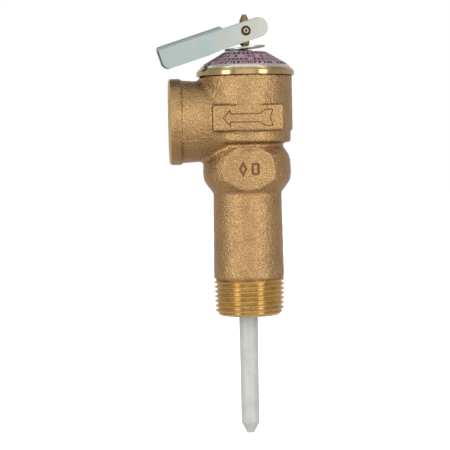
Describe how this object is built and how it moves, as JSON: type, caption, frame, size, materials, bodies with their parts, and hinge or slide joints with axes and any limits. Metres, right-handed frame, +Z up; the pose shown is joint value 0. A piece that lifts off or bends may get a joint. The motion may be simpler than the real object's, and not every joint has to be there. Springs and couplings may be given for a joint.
{
  "type": "temperature and pressure relief valve",
  "caption": "Cast bronze relief valve with a threaded inlet, a side outlet, a spring-loaded disc, a test lever and a thermostat probe.",
  "frame": {"origin": "centre of the inlet's end face, on the valve's axis", "axes": "+Z up the valve's axis towards the lever, -X out through the side outlet, -Y out of the front wrench flat"},
  "size_m": [0.0529, 0.0374, 0.1613],
  "materials": {
    "cast_bronze": "sand cast, fine grain, satin",
    "brass": "machined",
    "steel": "bright zinc plated",
    "spring_steel": "drawn wire",
    "copper": "drawn copper tube",
    "rubber": "moulded",
    "fibre": "pressed fibre",
    "label_foil": "printed foil",
    "probe_coating": "satin moulded coating",
    "wax": "waxy solid"
  },
  "bodies": {
    "casing": {"body": "cast_bronze", "retaining_ring": "brass", "bonnet": "steel", "name_plate": "label_foil", "bonnet_gasket": "rubber", "stem_bush": "brass", "stem_seal": "rubber", "upper_spring_seat": "steel", "main_spring": "spring_steel", "guide_spider": "brass", "thermostat_clip": "steel", "thermostat_head": "brass", "probe_sheath": "probe_coating", "probe_tube": "copper", "probe_charge": "wax"},
    "thermostat_rod": {"push_rod": "brass"},
    "swivel": {"thrust_washer": "fibre"},
    "disc_and_stem": {"disc_holder": "brass", "seat_disc": "rubber", "disc_retainer": "brass", "stem": "brass", "stem_clip": "steel"},
    "rocking_plate": {"lever_plate": "steel"},
    "test_lever": {"lever": "steel", "lever_pin": "brass"}
  },
  "joints": [
    {"name": "rod_travel", "type": "slide", "parent": "casing", "child": "thermostat_rod", "axis": [0, 0, 1], "range_m": [0, 0.0015]},
    {"name": "lever_swivel", "type": "hinge", "parent": "casing", "child": "swivel", "pos_m": [0, 0, 0.10105], "axis": [0, 0, 1], "continuous": true},
    {"name": "stem_lift", "type": "slide", "parent": "swivel", "child": "disc_and_stem", "axis": [0, 0, 1], "range_m": [0, 0.0034], "stiffness_N_per_m": 200, "springref_m": -0.005, "deforming": ["main_spring"]},
    {"name": "lever_turn", "type": "hinge", "parent": "disc_and_stem", "child": "test_lever", "pos_m": [0, 0, 0.1084], "axis": [-0.1132, 0.9936, 0], "range_deg": [0, 100]},
    {"name": "plate_tilt", "type": "hinge", "parent": "swivel", "child": "rocking_plate", "pos_m": [0, 0, 0.10195], "axis": [-0.1132, 0.9936, 0], "range_deg": [0, 5.6]}
  ],
  "couplings": [
    {"joint": "lever_turn", "follows": "stem_lift", "rad_per_m": 513},
    {"joint": "plate_tilt", "follows": "stem_lift", "rad_per_m": 28.2}
  ]
}
